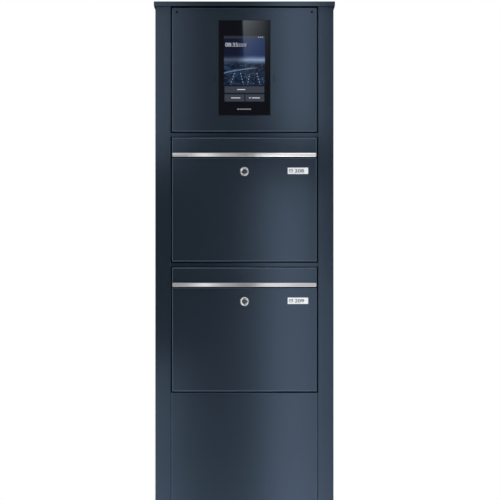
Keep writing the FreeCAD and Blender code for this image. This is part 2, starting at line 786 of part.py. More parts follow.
def make_letter_stops():
    """An upturned angle on each shell's floor that keeps the mail in when the door opens."""
    stops = []
    for index, top in enumerate(MODULE_TOPS):
        floor = f"{top} + 1 - module_height + shell_gauge"
        wall = primitive("Box", f"stop_wall_{index}", Length="300", Width="1.5", Height="46")
        foot = primitive("Box", f"stop_foot_{index}", Length="300", Width="16", Height="1.5")
        angle = doc.addObject("Part::MultiFuse", f"stop_{index}")
        angle.Shapes = [wall, foot]
        stops.append(put(angle, ("-150", "plate_back + 1.5", floor)))
    group("letter_stops", stops)


def make_flap(box, top):
    """The slot flap, its stainless bar and the bar's screws."""
    flap = hollow_front(f"{box}_flap", top, "front_half", "-flap_drop - flap_height",
                        "-flap_drop", "front_face", "flap_return", "front_gauge")
    cut(flap, "X", "-front_half", "front_half",
        circle("flap_axis_y", FLAP_AXIS, "flap_rod_radius + running_gap"))
    bar_centre = "-flap_drop - flap_height + bar_height / 2"
    holes = [circle(across, bar_centre, "1.6") for across in BAR_SCREW_X]
    cut(flap, "Y", "front_face", "front_face + front_gauge", *holes)

    bar = new_piece(f"{box}_handle_bar", top)
    add(bar, "Y", "bar_front", "front_face",
        wide("bar_half", "-flap_drop - flap_height", "-flap_drop - flap_height + bar_height"))
    round_edges(bar, "0.8", both(runs_along("x"), lies_at("y", "bar_front")))
    cut(bar, "Y", "front_face - 4", "front_face",
        *[circle(across, bar_centre, "1.5") for across in BAR_SCREW_X])

    screws = [screw(f"{box}_bar_screw_{step}", (across, "front_face + front_gauge", bar_centre),
                    (0, -1, 0), "1.4", "5", "2.7", "1.8", "1.1")
              for step, across in enumerate(BAR_SCREW_X)]
    group(f"{box}_bar_screws", screws, top)


def make_door(box, top):
    """The mailbox door, with its lock hole and its pin holes, and the nameplate."""
    door = hollow_front(f"{box}_door", top, "front_half", DOOR_BOTTOM, DOOR_TOP,
                        "front_face", "return_end", "front_gauge")
    cut(door, "Y", "front_face", "front_face + front_gauge",
        circle("0", "-lock_drop", "lock_body_radius + 0.2"))
    cut(door, "X", "-front_half", "front_half",
        circle("door_axis_y", DOOR_AXIS, "door_pin_radius + running_gap"))

    card = new_piece(f"{box}_nameplate_card", top)
    add(card, "Y", "front_face - 0.5", "front_face",
        rectangle("card_x - card_half_width", "-card_drop - card_half_height",
                  "card_x + card_half_width", "-card_drop + card_half_height"))

    holder = new_piece(f"{box}_nameplate_holder", top)
    rim = "(card_half_width + 1.2)"
    lid = "(card_half_height + 1.2)"
    add(holder, "Y", "front_face - 1.5", "front_face",
        rectangle(f"card_x - {rim}", f"-card_drop - {lid}",
                  f"card_x + {rim}", f"-card_drop + {lid}"))
    round_edges(holder, "0.8", runs_along("y"))
    round_edges(holder, "0.4", lies_at("y", "front_face - 1.5"))
    cut(holder, "Y", "front_face - 0.6", "front_face",
        rectangle("card_x - card_half_width - 0.1", "-card_drop - card_half_height - 0.1",
                  "card_x + card_half_width + 0.1", "-card_drop + card_half_height + 0.1"))


def make_lock(box, top):
    """A quarter-turn cam lock: housing and nut on the door, plug, cam and screw that turn."""
    axis = ("0", "-lock_drop")
    housing = new_piece(f"{box}_lock_housing", top)
    add(housing, "Y", "front_face", "plate_back", circle(*axis, "lock_body_radius"))
    add(housing, "Y", "lock_head_front", "front_face", circle(*axis, "lock_head_radius"))
    round_edges(housing, "0.9", lies_at("y", "lock_head_front"))
    cut(housing, "Y", "lock_head_front", "plate_back",
        circle(*axis, "plug_radius + running_gap"))

    ring = new_piece(f"{box}_lock_nut", top)
    back = "front_face + front_gauge + lock_nut_depth"
    corners = [(f"{across} * lock_nut_reach", f"-lock_drop + {up} * lock_nut_reach * 0.866")
               for across, up in ((1, 0), (0.5, 1), (-0.5, 1), (-1, 0), (-0.5, -1), (0.5, -1))]
    add(ring, "Y", "front_face + front_gauge", back, outline(*corners))
    cut(ring, "Y", "front_face + front_gauge", back, circle(*axis, "lock_body_radius + 0.05"))

    plug = new_piece(f"{box}_lock_plug", top)
    add(plug, "Y", "lock_head_front - 0.3", "plate_back + 0.2", circle(*axis, "plug_radius"))
    round_edges(plug, "0.5", lies_at("y", "lock_head_front - 0.3"))
    add(plug, "Y", "plate_back + 0.2", "cam_front + cam_gauge - 0.1",
        wide("cam_square", "-lock_drop - cam_square", "-lock_drop + cam_square"))
    cut(plug, "Y", "lock_head_front - 0.3", "lock_head_front + 14",
        wide("key_slot_half", "-lock_drop - key_slot_rise", "-lock_drop + key_slot_rise"))
    cut(plug, "Y", "cam_front - 8", "cam_front + cam_gauge - 0.1", circle(*axis, "1.6"))

    cam = new_piece(f"{box}_lock_cam", top)
    add(cam, "Y", "cam_front", "cam_front + cam_gauge",
        rectangle("-cam_length", "-lock_drop - 7", "7", "-lock_drop + 7"))
    round_edges(cam, "3", runs_along("y"))
    cut(cam, "Y", "cam_front", "cam_front + cam_gauge",
        wide("cam_square + 0.1", "-lock_drop - cam_square - 0.1", "-lock_drop + cam_square + 0.1"))

    fixing = screw(f"{box}_cam_fixing", ("0", "cam_front + cam_gauge", "-lock_drop"),
                   (0, -1, 0), "1.5", "7", "4.6", "2.2", "1.3")
    group(f"{box}_cam_screw", [fixing], top)


# ---------------------------------------------------------------- the whole column

make_post("left_post", "-1")
make_post("right_post", "1")
make_roof()
for rail_index, rail_label in enumerate(("upper_rail", "middle_rail")):
    make_rail(rail_label, f"{MODULE_TOPS[rail_index]} + rail_height")
make_base()
make_grommet()
make_back_panel()
make_lower_panel()
make_column_fixings()
make_hinge_pins()
make_bumpers()
make_letter_stops()
make_station_frame()
make_station_panel()
make_station_unit()
make_station_fixings()
for box_name, module_top in zip(("box1", "box2"), MODULE_TOPS):
    make_module_frame(box_name, module_top)
    make_flap(box_name, module_top)
    make_door(box_name, module_top)
    make_lock(box_name, module_top)

doc.recompute()
for item in doc.Objects:
    if any(word in state for state in item.State for word in ("Invalid", "Error")):
        raise ValueError(f"{item.Label}: {item.State}")
for piece in PIECES:
    if piece.Shape.isNull() or not piece.Shape.isValid():
        raise ValueError(f"{piece.Label}: its shape is not valid")

os.makedirs("parts", exist_ok=True)
for piece in PIECES:
    piece.Shape.exportStep(f"parts/{piece.Label}.step")
print(len(PIECES), "pieces written")
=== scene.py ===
import json
import math

import bmesh
import bpy
import numpy as np
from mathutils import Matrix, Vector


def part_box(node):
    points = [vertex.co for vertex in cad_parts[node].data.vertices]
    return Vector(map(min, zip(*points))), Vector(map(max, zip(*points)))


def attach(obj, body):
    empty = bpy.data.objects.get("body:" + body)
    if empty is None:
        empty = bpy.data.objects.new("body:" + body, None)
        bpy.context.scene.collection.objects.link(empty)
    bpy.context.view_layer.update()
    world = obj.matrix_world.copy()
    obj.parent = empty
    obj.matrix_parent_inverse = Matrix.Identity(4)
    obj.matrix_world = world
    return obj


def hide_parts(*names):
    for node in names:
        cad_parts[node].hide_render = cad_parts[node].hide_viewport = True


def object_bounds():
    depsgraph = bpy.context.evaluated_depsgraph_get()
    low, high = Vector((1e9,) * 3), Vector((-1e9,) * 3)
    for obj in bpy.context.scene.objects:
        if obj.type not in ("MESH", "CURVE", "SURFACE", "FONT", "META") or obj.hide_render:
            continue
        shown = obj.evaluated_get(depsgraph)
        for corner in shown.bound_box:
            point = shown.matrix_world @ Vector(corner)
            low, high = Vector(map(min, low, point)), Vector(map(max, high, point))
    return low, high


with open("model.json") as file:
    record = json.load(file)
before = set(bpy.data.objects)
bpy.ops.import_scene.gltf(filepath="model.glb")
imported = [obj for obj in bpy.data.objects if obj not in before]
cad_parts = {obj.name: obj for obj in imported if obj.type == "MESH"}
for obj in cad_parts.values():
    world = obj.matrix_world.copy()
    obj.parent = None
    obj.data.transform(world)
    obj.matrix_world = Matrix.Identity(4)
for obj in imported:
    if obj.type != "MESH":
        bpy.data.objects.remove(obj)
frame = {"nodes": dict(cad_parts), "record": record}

bl_info = {
    "name": "Cluster Mailbox Column",
    "version": (1, 0, 0),
    "blender": (4, 5, 0),
    "location": "View3D > Sidebar > Mailbox",
    "description": "Dresses a steel mailbox column with a door station in its real finishes",
    "category": "Object",
}

CAD_LOW, CAD_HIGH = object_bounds()
# The camera's distance counts from here, between the posts' faces and the doors' faces
COLUMN_FRONT = -0.1
BOXES = (1, 2)
SIDES = (-1, 1)
MM = 0.001
# Painted nodes behind the fronts, and how much painted shade darkens their coat
SHADED_INNER_NODES = ("station_frame", "box1_front_frame", "box2_front_frame")
INNER_PAINTED_SHADE = 0.12
# Pieces seen through the sound holes, in a near-black cloth: partly the speaker's cloth, partly
# painted shade inside the holes
CLOTH_NODES = ("loudspeaker", "microphone")
# Where the coat is painted dark as shade in the gaps behind the fronts: from front to back,
# across, and from foot to roof
GAP_SHADE_DEPTHS = (-0.0945, -0.0790)
GAP_SHADE_HALF_WIDTH = 0.189
GAP_SHADE_HEIGHTS = (0.010, 1.575)
# Painted fronts with folded edges, given a painted highlight along their bends
BEND_HIGHLIGHT_NODES = ("station_panel", "box1_flap", "box2_flap", "box1_door", "box2_door",
                "lower_front_panel")
# Every light stands at this Y
SOFTBOX_DEPTH = -0.72
# Each light's name, left, right, low and high edge in metres, radiance, and tilt in degrees
SOFTBOXES = (
    ("upper_key", 0.085, 0.205, 1.27, 1.95, 1.45, -1.6),
    ("lower_key", 0.060, 0.205, -0.35, 1.17, 1.20, -1.0),
    ("right_wing", 0.215, 0.300, -0.35, 0.90, 0.45, -1.0),
    ("upper_left", -0.520, -0.175, 1.22, 1.75, 0.75, 0.0),
    ("lower_left", -0.520, -0.175, -0.35, 0.66, 0.65, 0.0),
)
# The cards whose reflections run along the grip bars: left and right edge, and radiance
BAR_CARDS = (
    ("far_left", -0.330, -0.137, 0.38),
    ("left", -0.137, -0.090, 1.18),
    ("left_middle", -0.090, -0.020, 0.45),
    ("middle", -0.020, 0.030, 0.19),
    ("right", 0.034, 0.128, 0.92),
    ("far_right", 0.128, 0.245, 0.62),
)
CARD_HEIGHT = 0.30
# The card whose reflection lights each lock's rim: half its width, and radiance
LOCK_CARD = (0.030, 1.60)
# Rows of street lamps in the display's picture: slope, foot and top, in parts of its size
LAMP_ROWS = ((0.55, 0.02, 0.46), (-0.40, 0.58, 0.44), (0.30, 0.50, 0.42), (-0.45, 1.00, 0.45))
# The card mirrored in the display's upper right: its left, right, low and high edge
SHEEN_CARD = (-0.0025, 0.082, 1.325, 1.640)
SHEEN_RADIANCE = 2.9
# The studio's light over Y and over Z: from where, to where, and its strength at both
STUDIO_RAMPS = ((-0.93, -0.60, 0.0, 1.0), (0.0, 0.85, 0.6, 2.2))
# Buttons on the display: centre across and up in parts of the picture, then width and height in
# parts of the picture's width
BUTTONS = ((0.5, 0.185, 0.965, 0.152), (0.258, 0.058, 0.480, 0.172), (0.752, 0.058, 0.460, 0.172))
# Bars for the words on the buttons: centre across and up, and width
BUTTON_WORDS = ((0.42, 0.185, 0.20), (0.20, 0.058, 0.055), (0.315, 0.058, 0.17),
                (0.635, 0.058, 0.05), (0.78, 0.058, 0.20))
# Rows of small bars: first centre across and up, step, number, width, height and corner
BAR_ROWS = ((0.375, 0.876, 0.052, 4, 0.038, 0.014, 0.005),
            (0.382, 0.847, 0.066, 3, 0.050, 0.014, 0.005),
            (0.85, 0.981, 0.045, 3, 0.024, 0.018, 0.007))
CLOCK_TIME = "08:35"
# The clock's lower left corner, across and up
CLOCK_CORNER = (0.034, 0.838)
# The printed dot and bars under the picture: their height over the glass's lower edge, the dot's
# place across, size and corner, and the bars' first place, step, number, width, height and corner
FOOT_MARK_RISE = 15.9 * MM
FOOT_DOT = (0.345, 0.036, 0.017)
FOOT_BARS = (0.395, 0.036, 8, 0.024, 0.026, 0.004)
# How far marks and prints stand off the glass or the card
MARK_LIFT = 0.08 * MM
PRINT_LIFT = 0.03 * MM
# How far the print on a card and the digits reach into the face behind them
PRINT_SINK = 0.01 * MM
FIRST_BOX_NUMBER = 208
PADS_PER_METRE = 394.0
# Edges that turn by more than this stay sharp
SHARP_ANGLE = math.radians(38)
# Steps along the lock's thread, and round it and the floor
THREAD_STEPS = 84
TURN_STEPS = 72


# ------------------------------------------------------------------ sizes and colours

def length(name, description, default):
    """A length in metres that a user may change."""
    return bpy.props.FloatProperty(name=name, description=description, default=default,
                                   unit="LENGTH", precision=5)


def colour(name, description, default):
    """A linear colour that a user may change."""
    return bpy.props.FloatVectorProperty(name=name, description=description, default=default,
                                         subtype="COLOR", size=3, min=0.0, max=1.0)


def factor(name, description, default):
    """A plain number from 0 to 1."""
    return bpy.props.FloatProperty(name=name, description=description, default=default,
                                   min=0.0, max=1.0, subtype="FACTOR")


class MailboxFinishes(bpy.types.PropertyGroup):
    """Colours and gloss of the column's finishes."""
    paint: colour("Powder coat", "Anthracite powder coat", (0.0115, 0.0170, 0.0240))
    paint_tint: colour("Sheen tint", "Tint of the coat's sheen", (0.51, 0.69, 1.0))
    paint_roughness: factor("Coat roughness", "How matt the powder coat is", 0.25)
    # The lighter coat along bends is a painted highlight where the folded edges catch light
    edge_width: length("Bend width", "Width of the lighter coat along bends", 0.0022)
    bend_highlight: factor("Bend wear", "How much lighter the coat is along bends", 0.65)
    stainless: colour("Stainless", "Brushed grip bars", (0.60, 0.60, 0.61))
    zinc: colour("Zinc", "Galvanised sheet and fixings", (0.44, 0.46, 0.48))
    chrome: colour("Chrome", "Cam lock", (0.78, 0.78, 0.80))
    black: colour("Black", "Mouldings and glass border", (0.006, 0.0065, 0.009))
    rubber: colour("Rubber", "Gasket, buffers and grommet", (0.014, 0.014, 0.015))
    card: colour("Card", "Nameplate card", (0.86, 0.86, 0.85))
    ink: colour("Ink", "Print on the nameplate", (0.02, 0.022, 0.027))
    board: colour("Circuit board", "Solder mask", (0.012, 0.10, 0.045))


class MailboxDisplay(bpy.types.PropertyGroup):
    """The touch display's picture area and its marks."""
    screen_width: length("Picture width", "Width of the lit area", 0.104)
    screen_height: length("Picture height", "Height of the lit area", 0.167)
    corner: length("Glass corner", "Corner radius of the glass", 0.0016)
    polish: length("Glass edge", "Radius of the polished edge", 0.0006)
    digit_height: length("Clock height", "Height of the clock's digits", 0.0098)
    clock_width: length("Clock width", "Width of the clock's digits", 0.0318)
    brightness: bpy.props.FloatProperty(name="Brightness", description="Light of the picture",
                                        default=1.0, min=0.0, max=10.0)


class MailboxHardware(bpy.types.PropertyGroup):
    """Sizes of the locks' threads and the grip bars' edges."""
    thread_pitch: length("Thread pitch", "Pitch of the lock body's thread", 0.0015)
    thread_depth: length("Thread depth", "Depth of the lock body's thread", 0.0007)
    bar_edge: length("Bar edge", "Edge radius of the grip bars", 0.0006)


class MailboxStage(bpy.types.PropertyGroup):
    """Camera, floor and lights."""
    camera_distance: length("Camera distance", "From the camera to the column's fronts", 7.056)
    camera_side: length("Camera offset", "Camera to the right of the centre", 0.0142)
    camera_height: length("Camera height", "Height above the ground", 0.9689)
    floor_radius: length("Floor radius", "Radius of the pale floor", 2.9)
    lens: bpy.props.FloatProperty(name="Lens", description="Focal length", default=200.0,
                                  unit="CAMERA")


# ------------------------------------------------------------------ materials

class Signal:
    """A shader output that takes part in arithmetic. Each operation adds one Math node."""

    def __init__(self, finish, socket):
        self.finish = finish
        self.socket = socket

    def math(self, operation, *others):
        """This signal and the others through one Math node."""
        inputs = dict(enumerate((self, *others)))
        return self.finish.node("ShaderNodeMath", {"operation": operation}, inputs)

    def swapped(self, operation, other):
        """The other value first, then this signal."""
        return self.finish.node("ShaderNodeMath", {"operation": operation}, {0: other, 1: self})

    def __add__(self, other):
        return self.math("ADD", other)

    def __sub__(self, other):
        return self.math("SUBTRACT", other)

    def __mul__(self, other):
        return self.math("MULTIPLY", other)

    def __truediv__(self, other):
        return self.math("DIVIDE", other)

    def __rsub__(self, other):
        return self.swapped("SUBTRACT", other)

    def __pow__(self, other):
        return self.math("POWER", other)

    def __abs__(self):
        return self.math("ABSOLUTE")

    def __gt__(self, other):
        return self.math("GREATER_THAN", other)

    def __lt__(self, other):
        return self.math("LESS_THAN", other)

    def within(self, low, high):
        """1 where the signal lies between two values, else 0."""
        return (self > low) * (self < high)

    def fade(self, start, end):
        """0 at start, 1 at end, and smooth between them."""
        return self.finish.node("ShaderNodeMapRange", {"interpolation_type": "SMOOTHSTEP"},
                                {0: self, 1: start, 2: end, 3: 0.0, 4: 1.0})


class Finish:
    """One material under construction: a Principled shader and what feeds it."""

    def __init__(self, name):
        self.material = bpy.data.materials.new(name)
        self.material.use_nodes = True
        self.tree = self.material.node_tree
        self.tree.nodes.clear()
        self.shader = self.tree.nodes.new("ShaderNodeBsdfPrincipled")
        output = self.tree.nodes.new("ShaderNodeOutputMaterial")
        self.tree.links.new(self.shader.outputs["BSDF"], output.inputs["Surface"])
        self.place = self.node("ShaderNodeTexCoord", {}, {}, "Object")

    def feed(self, socket, value):
        """Links a signal to a socket, or sets the socket to a constant."""
        if isinstance(value, Signal):
            self.tree.links.new(value.socket, socket)
        else:
            socket.default_value = value

    def node(self, kind, settings, inputs, output=0):
        """Adds a node, sets it up, feeds it and gives one of its outputs."""
        made = self.tree.nodes.new(kind)
        for name, value in settings.items():
            setattr(made, name, value)
        for key, value in inputs.items():
            self.feed(made.inputs[key], value)
        return Signal(self, made.outputs[output])

    def set(self, **sockets):
        """Feeds the shader's own sockets, named with underscores for spaces."""
        names = {socket.name.lower().replace(" ", "_"): socket for socket in self.shader.inputs}
        for name, value in sockets.items():
            if name.endswith("color") or name == "specular_tint":
                value = value if isinstance(value, Signal) else (*value, 1.0)
            self.feed(names[name], value)
        return self.material

    def axes(self, vector=None):
        """X, Y and Z of the object coordinates, or of another vector."""
        source = vector or self.place
        return [self.node("ShaderNodeSeparateXYZ", {}, {0: source}, index) for index in range(3)]

    def stretched(self, x, y, z):
        """Object coordinates scaled along each axis."""
        return self.node("ShaderNodeMapping", {"vector_type": "POINT"},
                         {"Vector": self.place, "Scale": (x, y, z)})

    def noise(self, scale, detail=2.0, vector=None, roughness=0.5):
        """Soft random values about one half."""
        return self.node("ShaderNodeTexNoise", {}, {
            "Vector": vector or self.place, "Scale": scale, "Detail": detail,
            "Roughness": roughness})

    def cells(self, scale, vector=None, feature="F1", output="Distance"):
        """A Voronoi pattern's distances or colours."""
        return self.node("ShaderNodeTexVoronoi", {"feature": feature},
                         {"Vector": vector or self.place, "Scale": scale}, output)

    def blend(self, amount, first, second):
        """Colour that goes from first to second with the amount."""
        sides = [side if isinstance(side, Signal) else (*side, 1.0) for side in (first, second)]
        return self.node("ShaderNodeMix", {"data_type": "RGBA"},
                         {0: amount, 6: sides[0], 7: sides[1]}, 2)

    def layers(self, base, *layers):
        """Lays colours over a base, each where its amount is 1."""
        for amount, tint in layers:
            base = self.blend(amount, base, tint)
        return base

    def bump(self, height, strength, distance):
        """A normal tilted by a height signal."""
        return self.node("ShaderNodeBump", {}, {
            "Strength": strength, "Distance": distance, "Height": height})


def shade(tint, amount):
    """A colour made darker or lighter by a number."""
    return tuple(min(1.0, part * amount) for part in tint)


def powder_coat(look, name="powder_coat", depth=1.0, bends=None):
    """Fine-texture polyester powder: sub-millimetre grain, faint clouding and a tinted sheen.

    A depth under 1 darkens the coat and its sheen for the pieces inside, as painted shade. In the
    joints behind the fronts the coat is painted dark, as shade in the gaps. Bends are the middle
    and
    half size of a folded front: there the colour is lighter within an edge width of the outline,
    a painted highlight where the folded edges catch light.
    """
    finish = Finish(name)
    x, y, z = finish.axes()
    grain = finish.noise(2600.0, 3.0)
    pits = finish.cells(1500.0)
    cloud = finish.noise(5.0, 3.0)
    relief = grain * 0.7 + pits * 0.5
    tone = finish.blend(cloud, shade(look.paint, 0.94 * depth), shade(look.paint, 1.06 * depth))
    tone = finish.blend(grain * 0.25 + 0.125, tone, shade(look.paint, 1.25 * depth))
    if bends:
        centre, half = bends
        beside = abs(x - centre[0]) - (half[0] - look.edge_width)
        above = abs(z - centre[2]) - (half[2] - look.edge_width)
        edge = beside.math("MAXIMUM", above).fade(0.0, look.edge_width * 0.6)
        # Painted highlight: lighter coat along the folded edges, where the bends catch light
        tone = finish.blend(edge * look.bend_highlight, tone, shade(look.paint, 7.0))
    # Painted shade: the coat goes dark and matt in the gaps behind the fronts, where shade falls
    gap_shade = y.within(*GAP_SHADE_DEPTHS) * (abs(x) < GAP_SHADE_HALF_WIDTH) * z.within(*GAP_SHADE_HEIGHTS)
    tone = finish.blend(gap_shade, tone, shade(look.paint, 0.12))
    return finish.set(base_color=tone, specular_tint=look.paint_tint, specular_ior_level=depth,
                      roughness=(grain - 0.5) * 0.12 + gap_shade * 0.6 + look.paint_roughness,
                      normal=finish.bump(relief, 0.16, 0.00012))


def brushed_stainless(look):
    """Ground stainless: hairlines along the bar in relief, tone and gloss."""
    finish = Finish("brushed_stainless")
    hairs = finish.noise(900.0, 4.0, finish.stretched(0.012, 1.0, 1.0), 0.65)
    drift = finish.noise(14.0, 2.0, finish.stretched(1.0, 1.0, 6.0))
    tone = finish.blend(hairs, shade(look.stainless, 0.86), shade(look.stainless, 1.14))
    return finish.set(base_color=tone, metallic=1.0,
                      roughness=hairs * 0.06 + drift * 0.03 + 0.10,
                      normal=finish.bump(hairs, 0.10, 0.00005))


def galvanised(look):
    """Hot-dip zinc: crystals of slightly different grey, dull with age."""
    finish = Finish("galvanised")
    spangle = finish.cells(160.0, output="Color")
    level = finish.axes(spangle)[0]
    grain = finish.noise(700.0, 3.0)
    tone = finish.blend(level, shade(look.zinc, 0.80), shade(look.zinc, 1.18))
    return finish.set(base_color=tone, metallic=0.85, roughness=level * 0.14 + 0.36,
                      normal=finish.bump(grain, 0.10, 0.0001))


def satin_chrome(look):
    """Plated zinc die casting with faint turning marks."""
    finish = Finish("satin_chrome")
    marks = finish.noise(420.0, 3.0)
    return finish.set(base_color=look.chrome, metallic=1.0, roughness=marks * 0.10 + 0.10,
                      normal=finish.bump(marks, 0.03, 0.00005))


def blackened_steel(look):
    """Black-oxide screws, a little rubbed."""
    finish = Finish("blackened_steel")
    rub = finish.noise(500.0, 3.0).fade(0.55, 0.75)
    tone = finish.blend(rub, (0.010, 0.010, 0.012), (0.035, 0.035, 0.038))
    return finish.set(base_color=tone, metallic=0.7, roughness=0.42 - rub * 0.1)


def moulded(name, tint, roughness):
    """Spark-eroded plastic moulding: a fine leathery grain."""
    finish = Finish(name)
    grain = finish.cells(900.0)
    drift = finish.noise(30.0, 2.0)
    tone = finish.blend(drift, shade(tint, 0.85), shade(tint, 1.2))
    return finish.set(base_color=tone, roughness=grain * 0.12 + roughness,
                      normal=finish.bump(grain, 0.12, 0.00008))


def soft_rubber(look):
    """Matt rubber with a dusty bloom."""
    finish = Finish("soft_rubber")
    bloom = finish.noise(90.0, 4.0)
    tone = finish.blend(bloom, look.rubber, shade(look.rubber, 1.9))
    return finish.set(base_color=tone, roughness=bloom * 0.12 + 0.62,
                      normal=finish.bump(finish.noise(1400.0), 0.15, 0.00008))


def circuit_board(look):
    """Solder mask over copper runs, with tinned pads."""
    finish = Finish("circuit_board")
    x, _, z = finish.axes()
    runs = finish.cells(240.0, feature="DISTANCE_TO_EDGE").fade(0.05, 0.02)
    columns = abs((x * PADS_PER_METRE).math("FRACT") - 0.5) < 0.2
    rows = abs((z * PADS_PER_METRE).math("FRACT") - 0.5) < 0.2
    pads = columns * rows * (finish.cells(60.0, output="Color") > 0.7)
    tone = finish.layers(look.board, (runs * 0.6, shade(look.board, 2.2)),
                         (pads, (0.55, 0.55, 0.52)))
    return finish.set(base_color=tone, roughness=0.32, metallic=pads * 0.8)


def printed_card(look):
    """Matt white card with a faint fibre."""
    finish = Finish("printed_card")
    fibre = finish.noise(1800.0, 4.0)
    return finish.set(base_color=finish.blend(fibre, shade(look.card, 0.95), look.card),
                      roughness=0.6)


def printed_ink(look):
    """Dark print on the card."""
    finish = Finish("printed_ink")
    cover = finish.noise(1500.0, 3.0)
    return finish.set(base_color=finish.blend(cover, look.ink, shade(look.ink, 1.5)),
                      roughness=0.5)


def clear_cover():
    """Clear polycarbonate, seen mostly by its edges and gloss."""
    finish = Finish("clear_cover")
    scuff = finish.noise(300.0, 4.0)
    return finish.set(base_color=(0.92, 0.94, 0.95), roughness=scuff * 0.06 + 0.05, alpha=0.05)


def lit_mark(name, tint):
    """A lit sign on the display, such as a digit."""
    finish = Finish(name)
    even = finish.noise(200.0)
    glow = finish.blend(even, shade(tint, 0.95), tint)
    return finish.set(base_color=(0.02, 0.02, 0.02), roughness=0.1, emission_color=glow,
                      emission_strength=1.0)


def display_picture(look, display, centre):
    """Black printed glass over a lit picture: a night sky, a glowing horizon over city lights.

    Across and up run from 0 to 1 over the lit area. The sky fades from navy to blue towards a
    band about the horizon; sky and band grow lighter towards the right, partly in the picture and
    partly a painted reflection of the glass's sheen. Below it lie streets: small cells lit where
    noise is high, larger ones that come in towards the bottom, rows of lamps, and a long trail
    whose height grows with a power of the way across.
    """
    finish = Finish("display_picture")
    x, _, z = finish.axes()
    across = (x - centre[0]) / display.screen_width + 0.5
    up = (z - centre[2]) / display.screen_height + 0.5
    lit = across.within(0.0, 1.0) * up.within(0.0, 1.0)

    wobble = finish.noise(30.0, 3.0)
    # Sky and horizon glow grow lighter towards the right: partly the picture, partly a painted
    # reflection of the glass's sheen
    sky = finish.blend(across.fade(0.30, 0.62), (0.0028, 0.0046, 0.0180), (0.0080, 0.0210, 0.085))
    horizon = (1.0 - abs(up + wobble * 0.03 - 0.652) * 13.0).math("MAXIMUM", 0.0)
    glow = horizon * horizon * (across.fade(0.30, 0.62) * 0.72 + 0.28) * (wobble * 0.6 + 0.7)

    squeeze = finish.stretched(1.0, 1.0, 1.7)
    haze = finish.noise(75.0, 4.0, squeeze)
    ground = finish.blend(haze.fade(0.38, 0.72), (0.0012, 0.0045, 0.016), (0.010, 0.030, 0.075))
    lamps = finish.cells(300.0, squeeze).fade(0.28, 0.06) * finish.noise(95.0).fade(0.40, 0.54)
    near = finish.cells(120.0, squeeze).fade(0.12, 0.02) * up.fade(0.50, 0.26)

    arc = across.math("MAXIMUM", 0.0) ** 0.6
    trail = 1.0 - abs(up - arc * 0.10 - 0.428) * 75.0
    trails = trail.math("MAXIMUM", 0.0) * across.fade(0.90, 0.60)
    dashes = ((up * 24.0).math("FRACT")).fade(0.55, 0.30)
    city = finish.layers(ground, (lamps * 0.85, (0.20, 0.33, 0.52)), (near, (0.62, 0.75, 0.92)),
                         (trails * 0.55, (0.28, 0.38, 0.52)))
    for slope, foot, start in LAMP_ROWS:
        row = 1.0 - abs(across - up * slope - foot) * 70.0
        row = row.math("MAXIMUM", 0.0) * dashes * up.within(0.20, start)
        city = finish.blend(row * 0.8, city, (0.42, 0.58, 0.80))

    picture = finish.blend(up > 0.615, city, sky)
    picture = finish.blend(glow * 0.9, picture, (0.24, 0.34, 0.50))
    picture = finish.layers(picture, (up > 0.962, (0.021, 0.025, 0.038)),
                            (up < 0.262, (0.005, 0.008, 0.014)))
    shown = finish.blend(lit, (0.0, 0.0, 0.0), picture)
    return finish.set(base_color=look.black, roughness=0.035, specular_ior_level=0.55,
                      emission_color=shown, emission_strength=display.brightness)


# ------------------------------------------------------------------ surfaces

def rounded_box(half_width, half_height, radius, steps=6):
    """Points round a rectangle whose corners are quarter circles: each corner's centre plus
    radius times (cos a, sin a), the angle running on through all four corners."""
    angles = np.linspace(0.0, math.pi / 2, steps)[None, :] + np.arange(4)[:, None] * math.pi / 2
    signs = np.array(((1, 1), (-1, 1), (-1, -1), (1, -1)), float)
    centres = signs * (half_width - radius, half_height - radius)
    ring = centres[:, None, :] + radius * np.stack((np.cos(angles), np.sin(angles)), axis=-1)
    return ring.reshape(-1, 2)


def circle(radius, count):
    """Points round a circle: radius times (cos a, sin a)."""
    angles = np.arange(count) * 2 * math.pi / count
    return radius * np.stack((np.cos(angles), np.sin(angles)), axis=-1)


def shell_faces(count_rings, count_points, first, closed):
    """Quads between neighbouring rings, with a flat face over each end ring unless the last
    ring joins the first."""
    index = np.arange(count_rings * count_points).reshape(count_rings, count_points) + first
    near = index if closed else index[:-1]
    far = np.roll(index, -1, axis=0) if closed else index[1:]
    quads = np.stack((near, np.roll(near, -1, axis=1), np.roll(far, -1, axis=1), far), axis=-1)
    faces = quads.reshape(-1, 4).tolist()
    if not closed:
        faces += [index[0][::-1].tolist(), index[-1].tolist()]
    return faces


def build(name, shells, material, body, closed=False, replaced=()):
    """One object from closed shells of rings, with outward normals, riding on a body."""
    points = []
    faces = []
    first = 0
    for rings in shells:
        faces += shell_faces(rings.shape[0], rings.shape[1], first, closed)
        points.append(rings.reshape(-1, 3))
        first += rings.shape[0] * rings.shape[1]
    mesh = bpy.data.meshes.new(name)
    mesh.from_pydata(np.concatenate(points).tolist(), [], faces)
    solid = bmesh.new()
    solid.from_mesh(mesh)
    bmesh.ops.recalc_face_normals(solid, faces=solid.faces)
    solid.to_mesh(mesh)
    solid.free()
    mesh.set_sharp_from_angle(angle=SHARP_ANGLE)
    # Flat ends have many corners. Their flags are set last, because marking edges resets them.
    smooth = np.array([polygon.loop_total <= 4 for polygon in mesh.polygons])
    mesh.polygons.foreach_set("use_smooth", smooth)
    return place_piece(name, mesh, material, body, replaced)


def place_piece(name, mesh, material, body, replaced=()):
    """Links a mesh into the scene as a piece of the column."""
    piece = bpy.data.objects.new(name, mesh)
    bpy.context.scene.collection.objects.link(piece)
    mesh.materials.append(material)
    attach(piece, body)
    if replaced:
        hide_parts(*replaced)
    return piece


